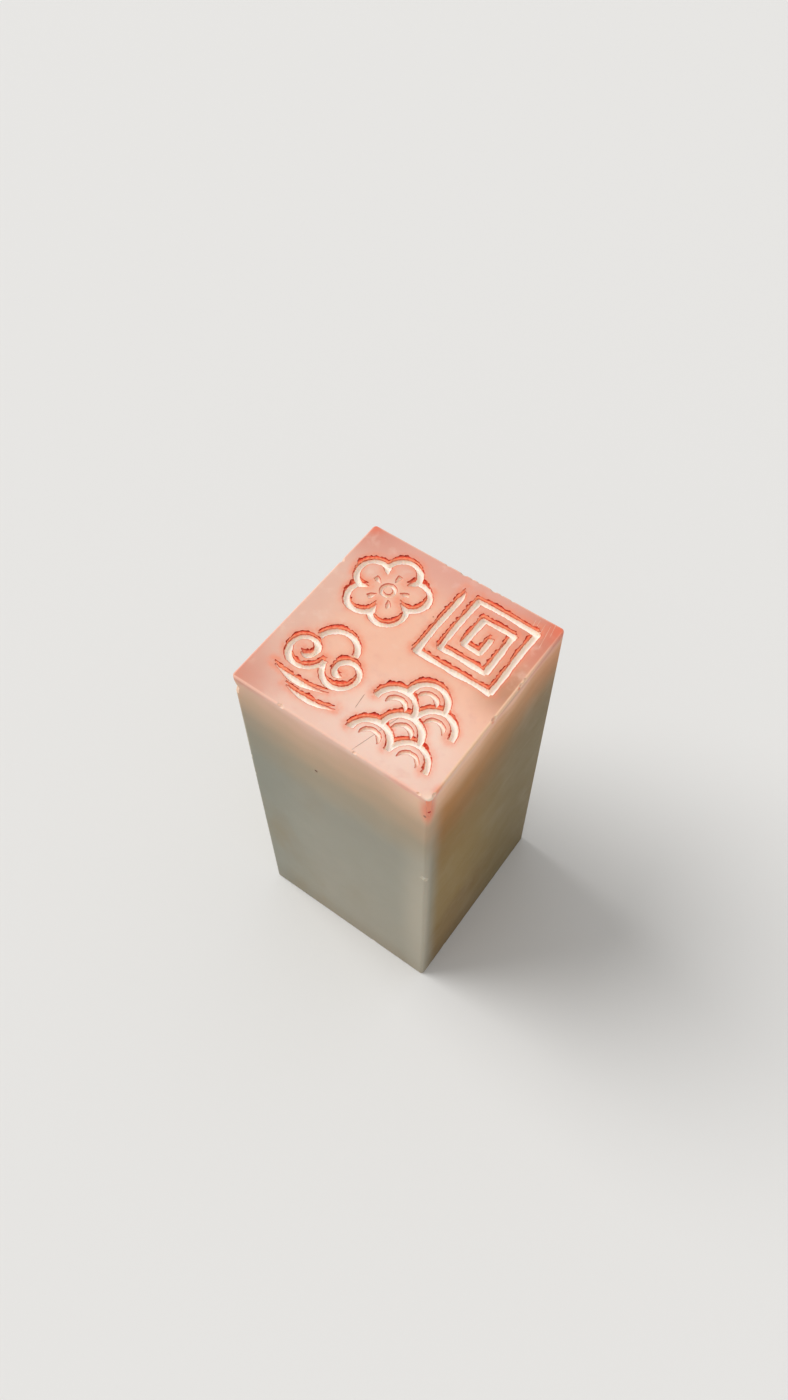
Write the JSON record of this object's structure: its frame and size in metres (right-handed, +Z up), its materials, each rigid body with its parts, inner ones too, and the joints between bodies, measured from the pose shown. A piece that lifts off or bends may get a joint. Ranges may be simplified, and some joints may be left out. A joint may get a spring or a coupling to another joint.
{
  "type": "seal stamp",
  "caption": "Square-bar hand seal of soft stone, standing on its plain end, with a face of knife-cut ornaments that holds dried red seal paste.",
  "frame": {"origin": "centre of the plain end that the seal stands on", "axes": "+Z up along the bar to the carved face; seen from above the carving, +X is to the right and +Y is to the top"},
  "size_m": [0.0244, 0.0244, 0.05],
  "materials": {
    "stone": "soft translucent seal stone, sanded and waxed, celadon grey with a pink top",
    "seal_paste": "dried cinnabar-red seal paste, crusted"
  },
  "bodies": {
    "root": {"carved_stone": "stone", "paste_run_on_corner": "seal_paste", "paste_in_blossom_1": "seal_paste", "paste_in_blossom_2": "seal_paste", "paste_in_blossom_3": "seal_paste", "paste_in_blossom_4": "seal_paste", "paste_in_fret_1": "seal_paste", "paste_in_fret_2": "seal_paste", "paste_in_fret_3": "seal_paste", "paste_in_fret_4": "seal_paste", "paste_in_fret_5": "seal_paste", "paste_in_fret_6": "seal_paste", "paste_in_cloud_1": "seal_paste", "paste_in_cloud_2": "seal_paste", "paste_in_cloud_3": "seal_paste", "paste_in_cloud_4": "seal_paste", "paste_in_cloud_5": "seal_paste", "paste_in_cloud_6": "seal_paste", "paste_in_cloud_7": "seal_paste", "paste_in_waves_1": "seal_paste", "paste_in_waves_2": "seal_paste", "paste_in_waves_3": "seal_paste", "paste_in_waves_4": "seal_paste"}
  },
  "joints": []
}
